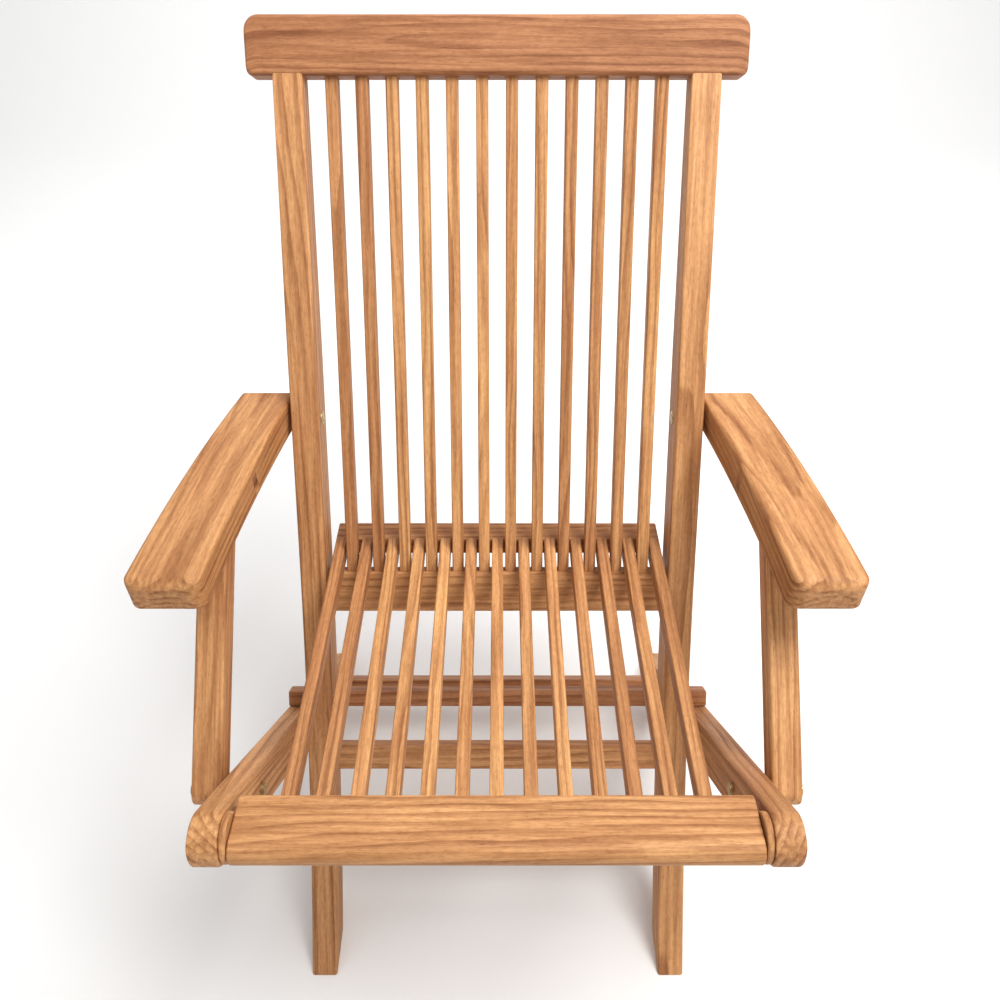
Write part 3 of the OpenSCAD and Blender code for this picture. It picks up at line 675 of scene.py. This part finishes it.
SPACER_IN = 230 * MM
disc = [(0.6 * MM, 19 * MM), (0, 20.4 * MM), (0.9 * MM, 21.6 * MM), (2.4 * MM, 22 * MM),
        (4.2 * MM, 22 * MM), (5.6 * MM, 21.6 * MM), (6.5 * MM, 20.4 * MM), (6.5 * MM, 10 * MM)]
keep(both("seat_spacer_wood", seat_pin, SPACER_IN, 1, disc, tone=0.4), "rear_legs",
     "seat_spacers", "teak_frame")

HEAD = dome(7.6 * MM, 2.2 * MM)
leg_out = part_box("rear_leg_right")[1].x
keep(both("seat_bolt_heads", seat_pin, leg_out, 1, HEAD), "rear_legs",
     "seat_pivot_bolts", "brass_fastener")
keep(both("arm_bolt_heads", arm_pin, STILE_IN, -1, HEAD), "back_frame",
     "arm_pivot_bolts", "brass_fastener")
crossing = [both("crossing_heads", cross, STILE_IN, -1, HEAD),
            both("crossing_nuts", cross, leg_out, 1, HEAD)]
keep(joined("crossing_bolt_heads", crossing), "back_frame", "crossing_bolts",
     "brass_fastener")
print("pieces so far", len(pieces))

# %% [markdown]
# ## Expressions for shaders
# A wood is a long sum of small effects, and it reads best as arithmetic. This class wraps a
# socket so that Python's own operators add the Math nodes.

# %% Socket arithmetic
class Wire:
    """A socket of a node tree that can be used in arithmetic."""

    def __init__(self, tree, socket):
        self.tree, self.socket = tree, socket

    def _math(self, operation, *values):
        return add_node(self.tree, "ShaderNodeMath", {"operation": operation},
                        dict(enumerate(values)))[0]

    def __add__(self, other):
        return self._math("ADD", self, other)

    def __sub__(self, other):
        return self._math("SUBTRACT", self, other)

    def __rsub__(self, other):
        return self._math("SUBTRACT", other, self)

    def __mul__(self, other):
        return self._math("MULTIPLY", self, other)

    def __truediv__(self, other):
        return self._math("DIVIDE", self, other)

    def root(self):
        """Its square root."""
        return self._math("SQRT", self)

    def fraction(self):
        """What is left of it above the whole number below it."""
        return self._math("FRACT", self)

    def between(self, low, high):
        """0 below low, 1 above high, and smooth from one to the other."""
        return add_node(self.tree, "ShaderNodeMapRange", {"interpolation_type": "SMOOTHSTEP"},
                        {"Value": self, "From Min": low, "From Max": high})[0]

    __radd__, __rmul__ = __add__, __mul__


def add_node(tree, kind, settings, inputs):
    """Adds a node, sets it up, then fills or links its sockets. Returns its outputs as Wires."""
    made = tree.nodes.new(kind)
    for key, value in settings.items():
        setattr(made, key, value)
    for key, value in inputs.items():
        if isinstance(value, Wire):
            tree.links.new(value.socket, made.inputs[key])
        else:
            made.inputs[key].default_value = value
    return [Wire(tree, out) for out in made.outputs]


def blend_colour(tree, factor, a, b, mode="MIX"):
    """Mixes two colours, given as Wires or as RGBA values."""
    return add_node(tree, "ShaderNodeMix", {"data_type": "RGBA", "blend_type": mode},
                    {0: factor, 6: a, 7: b})[2]


def noise(tree, where, scale, detail=2.0, rough=0.5):
    """Noise from 0 to 1, at a scale in turns per metre."""
    return add_node(tree, "ShaderNodeTexNoise", {"noise_dimensions": "3D"},
                    {"Vector": where, "Scale": scale, "Detail": detail, "Roughness": rough})[0]


def vector(tree, x, y, z):
    """A vector from three numbers or Wires."""
    return add_node(tree, "ShaderNodeCombineXYZ", {}, {0: x, 1: y, 2: z})[0]


# %% [markdown]
# ## Teak
# Unfinished teak is a warm honey brown. Its growth rings are a few millimetres apart, each
# with a thin dark line where a season ended. Over them lie long soft streaks of light and
# dark, and short fine pores. The rings are circles round the log's heart, bent a little by
# slow noise, so every face of a stick shows the cut it would really have. The surface is
# sanded, not polished: it is matt, a little rougher on the ring lines.

# %% Teak
def wood(name, light, dark, reddish, ring_gap):
    """A solid teak: a base between two tones, less the ring lines, streaks and pores."""
    material = bpy.data.materials.new(name)
    material.use_nodes = True
    tree = material.node_tree
    shader = tree.nodes["Principled BSDF"]
    place = add_node(tree, "ShaderNodeAttribute", {"attribute_name": "grain"}, {})[1]
    tone = add_node(tree, "ShaderNodeAttribute", {"attribute_name": "tone"}, {})[2]
    along, side, deep = add_node(tree, "ShaderNodeSeparateXYZ", {}, {0: place})

    slow = noise(tree, vector(tree, along * 2.2, side * 9, deep * 9), 1.0, 2.0) - 0.5
    wobble = noise(tree, vector(tree, along * 10, side * 90, deep * 90), 1.0, 3.0) - 0.5
    heart = (side * side + deep * deep).root() + slow * 0.030 + wobble * 0.0040
    season = (heart / ring_gap).fraction()
    line = season.between(0.30, 0.90) * (1 - season.between(0.90, 1.0))
    strength = noise(tree, vector(tree, along * 4, side * 70, deep * 70), 1.0, 2.0)
    line = line * strength.between(0.30, 0.58)

    streak = noise(tree, vector(tree, along * 5, side * 190, deep * 190), 1.0, 4.0, 0.65)
    fibre = noise(tree, vector(tree, along * 30, side * 1300, deep * 1300), 1.0, 3.0)
    pore = noise(tree, vector(tree, along * 130, side * 1400, deep * 1400), 1.0, 1.0)
    pore = pore.between(0.60, 0.72)
    patch = noise(tree, vector(tree, along * 9, side * 30, deep * 30), 1.0, 3.0)
    mottle = noise(tree, vector(tree, along * 130, side * 330, deep * 330), 1.0, 3.0, 0.6)

    base = blend_colour(tree, tone, dark, light)
    base = blend_colour(tree, patch.between(0.38, 0.68) * 0.55, base, reddish)
    base = blend_colour(tree, streak.between(0.34, 0.68) * 0.85, base,
                        (0.62, 0.52, 0.43, 1), "MULTIPLY")
    base = blend_colour(tree, line * 0.72, base, (0.50, 0.37, 0.27, 1), "MULTIPLY")
    base = blend_colour(tree, mottle.between(0.38, 0.66) * 0.40, base,
                        (0.70, 0.64, 0.58, 1), "MULTIPLY")
    base = blend_colour(tree, fibre.between(0.38, 0.72) * 0.36, base,
                        (0.66, 0.56, 0.46, 1), "MULTIPLY")
    base = blend_colour(tree, pore * 0.40, base, (0.38, 0.28, 0.20, 1), "MULTIPLY")
    tree.links.new(base.socket, shader.inputs["Base Color"])

    rough = 0.62 + line * 0.06 - fibre * 0.08
    tree.links.new(rough.socket, shader.inputs["Roughness"])
    height = fibre * 0.5 + streak * 0.5 - pore * 0.8 + mottle * 0.3
    bump = add_node(tree, "ShaderNodeBump", {}, {"Height": height, "Strength": 0.28,
                                                 "Distance": 0.0005})[0]
    tree.links.new(bump.socket, shader.inputs["Normal"])
    shader.inputs["Specular IOR Level"].default_value = 0.32
    return material


def metal(name, colour, rough):
    """A dull metal whose tarnish is patchy: darker and rougher where the noise is high."""
    material = bpy.data.materials.new(name)
    material.use_nodes = True
    tree = material.node_tree
    shader = tree.nodes["Principled BSDF"]
    where = add_node(tree, "ShaderNodeTexCoord", {}, {})[3]
    patch = noise(tree, where, 260.0, 3.0).between(0.35, 0.75)
    base = blend_colour(tree, patch * 0.6, colour, (0.16, 0.11, 0.06, 1))
    tree.links.new(base.socket, shader.inputs["Base Color"])
    tree.links.new((patch * 0.25 + rough).socket, shader.inputs["Roughness"])
    shader.inputs["Metallic"].default_value = 1.0
    return material


teak_frame = wood("teak_frame", (0.74, 0.40, 0.17, 1), (0.56, 0.28, 0.115, 1),
                  (0.54, 0.25, 0.10, 1), 7.0 * MM)
teak_slat = wood("teak_slat", (0.82, 0.46, 0.19, 1), (0.50, 0.235, 0.095, 1),
                 (0.54, 0.24, 0.095, 1), 5.5 * MM)
teak_red = wood("teak_red", (0.60, 0.29, 0.125, 1), (0.46, 0.205, 0.09, 1),
                (0.42, 0.18, 0.08, 1), 8.0 * MM)
brass = metal("dull_brass", (0.52, 0.38, 0.18, 1), 0.34)
by_slot = {"teak_frame": teak_frame, "teak_slat": teak_slat, "teak_red": teak_red,
           "brass_fastener": brass}
for piece in pieces.values():
    piece.data.materials.clear()
    piece.data.materials.append(by_slot[piece["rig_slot"]])
fasteners = [s["node"] for s in frame["record"]["subparts"]
             if s["material_slot"] == "brass_fastener"]
for node in fasteners:
    bolt = frame["nodes"][node]
    bolt.data.materials.clear()
    bolt.data.materials.append(brass)
print("woods on", len(pieces), "pieces, brass on", len(fasteners))

# %% [markdown]
# ## Floor, light and camera
# The chair stands on a plain pale floor that bends up behind it. One broad soft light hangs
# above and to the right, a weak one fills from in front, a third lights the backdrop, and the
# sky of the world is white, so shadows under the seat stay soft. The camera stands close and
# high, looking steeply down.

# %% Floor
def backdrop():
    """A sheet that runs flat and then bends up: a quarter circle joins floor and wall."""
    bend = np.linspace(0, math.pi / 2, 16)
    radius, depth, wide, high = 1.2, 2.2, 6.0, 3.0
    y = np.concatenate([[-4.0], depth + radius * np.sin(bend), [depth + radius]])
    z = np.concatenate([[0.0], radius * (1 - np.cos(bend)), [radius + high]])
    rows = len(y)
    points = np.stack([np.repeat([[-wide, wide]], rows, 0),
                       np.repeat(y[:, None], 2, 1), np.repeat(z[:, None], 2, 1)], -1)
    faces = [[2 * i, 2 * i + 1, 2 * i + 3, 2 * i + 2] for i in range(rows - 1)]
    mesh = bpy.data.meshes.new("floor")
    mesh.from_pydata(points.reshape(-1, 3).tolist(), [], faces)
    mesh.polygons.foreach_set("use_smooth", np.ones(len(mesh.polygons), bool))
    floor = bpy.data.objects.new("floor", mesh)
    bpy.context.scene.collection.objects.link(floor)
    material = bpy.data.materials.new("pale_floor")
    material.use_nodes = True
    shader = material.node_tree.nodes["Principled BSDF"]
    shader.inputs["Base Color"].default_value = (0.86, 0.86, 0.86, 1)
    shader.inputs["Roughness"].default_value = 0.9
    mesh.materials.append(material)
    return floor


backdrop()


# %% Lights and camera
def softbox(name, place, target, size, watts, colour=(1, 1, 1)):
    """A square lamp that looks at a point."""
    lamp = bpy.data.lights.new(name, "AREA")
    lamp.shape, lamp.size, lamp.energy, lamp.color = "SQUARE", size, watts, colour
    holder = bpy.data.objects.new(name, lamp)
    holder.location = place
    aim = Vector(target) - Vector(place)
    holder.rotation_euler = aim.to_track_quat("-Z", "Y").to_euler()
    bpy.context.scene.collection.objects.link(holder)


softbox("key", (0.95, -0.45, 2.7), (0.05, 0, 0.4), 1.2, 66, (1.0, 0.985, 0.96))
softbox("front", (0.9, -2.4, 1.5), (0, 0, 0.5), 1.6, 9, (1.0, 0.98, 0.96))
softbox("backdrop", (0, 1.1, 2.4), (0, 3.0, 0.4), 2.2, 40)
world = bpy.data.worlds.new("sky")
bpy.context.scene.world = world
world.use_nodes = True
world.node_tree.nodes["Background"].inputs[0].default_value = (1, 1, 1, 1)
world.node_tree.nodes["Background"].inputs[1].default_value = 0.50
bpy.context.scene.view_settings.view_transform = "Standard"

PITCH_DOWN = math.radians(44.0)
FOCAL, SENSOR_W = 0.9, 36.0
CAMERA_X, CAMERA_BACK, CAMERA_Z = 3 * MM, 799.4 * MM, 1199.8 * MM
camera_data = bpy.data.cameras.new("camera")
camera_data.sensor_width = SENSOR_W
camera_data.lens = FOCAL * SENSOR_W
camera = bpy.data.objects.new("camera", camera_data)
camera.location = (CAMERA_X, arm_pin[0] - CAMERA_BACK, CAMERA_Z)
camera.rotation_euler = (math.pi / 2 - PITCH_DOWN, 0, 0)
bpy.context.scene.collection.objects.link(camera)
bpy.context.scene.camera = camera

# %% The end
bpy.context.view_layer.update()
